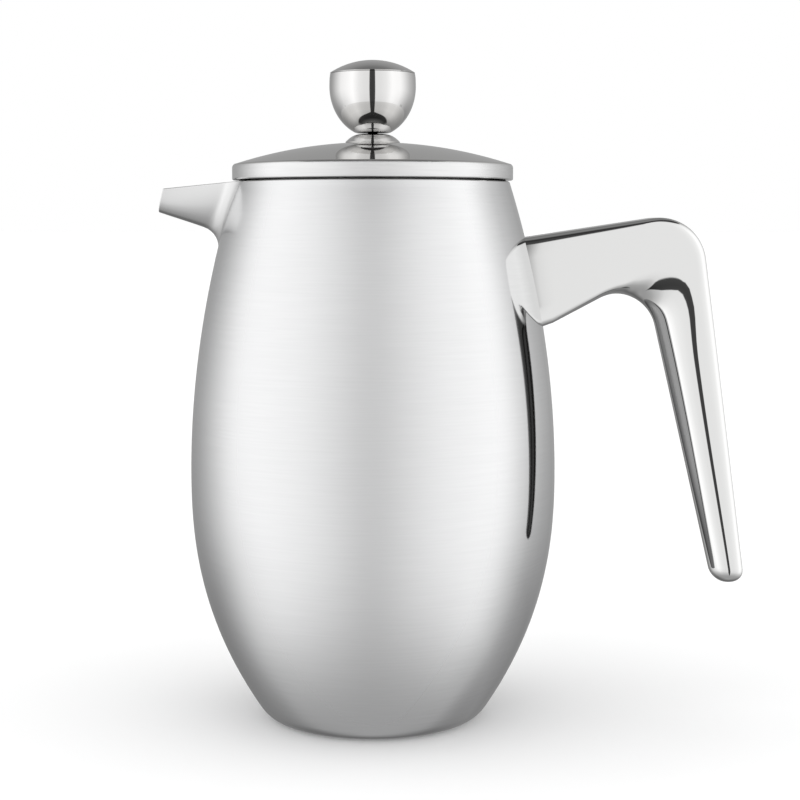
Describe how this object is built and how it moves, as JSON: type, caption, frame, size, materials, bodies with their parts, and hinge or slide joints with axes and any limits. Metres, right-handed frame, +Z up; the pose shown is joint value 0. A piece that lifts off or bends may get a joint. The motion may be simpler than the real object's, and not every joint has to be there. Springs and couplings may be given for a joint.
{
  "type": "french press",
  "caption": "Double-wall steel french press with a barrel-shaped vessel, pouring spout, cast open handle, domed lid and a sliding plunger with a spring-edged filter.",
  "frame": {"origin": "on the vessel's axis, at the plane the base stands on", "axes": "+Z up along the vessel's axis, +X towards the handle, -X towards the spout"},
  "size_m": [0.199, 0.124, 0.2228],
  "materials": {
    "brushed_steel": "fine circumferential brushing",
    "polished_steel": "mirror polished",
    "satin_steel": "satin",
    "spring_wire": "bright drawn wire",
    "woven_wire": "fine woven wire cloth",
    "seal_rubber": "matt black silicone",
    "bush_plastic": "natural white"
  },
  "bodies": {
    "carafe": {"outer_shell": "brushed_steel", "inner_liner": "satin_steel", "base_plate": "satin_steel", "spout": "polished_steel", "handle": "polished_steel"},
    "gasket": {"lid_seal": "seal_rubber"},
    "lid": {"lid_dome": "polished_steel", "lid_pan": "satin_steel", "strainer_skirt": "satin_steel", "guide_collar": "polished_steel", "collar_nut": "satin_steel"},
    "bush": {"rod_bush": "bush_plastic"},
    "plunger": {"plunger_rod": "polished_steel", "knob_cup": "polished_steel", "knob_cap": "polished_steel", "knob_washer": "satin_steel", "knob_nut": "satin_steel", "hub_nut": "satin_steel", "cross_plate": "satin_steel", "mesh_screen": "woven_wire", "spiral_plate": "satin_steel", "edge_spring": "spring_wire", "upper_hub": "satin_steel"}
  },
  "joints": [
    {"name": "lid_lift", "type": "slide", "parent": "carafe", "child": "gasket", "axis": [0, 0, 1], "range_m": [0, 0.172]},
    {"name": "lid_turn", "type": "hinge", "parent": "gasket", "child": "lid", "pos_m": [0, 0, 0.1844], "axis": [0, 0, 1], "continuous": true},
    {"name": "plunger_turn", "type": "hinge", "parent": "lid", "child": "bush", "pos_m": [0, 0, 0.19], "axis": [0, 0, 1], "continuous": true},
    {"name": "plunger_slide", "type": "slide", "parent": "bush", "child": "plunger", "axis": [0, 0, 1], "range_m": [0, 0.134]}
  ]
}
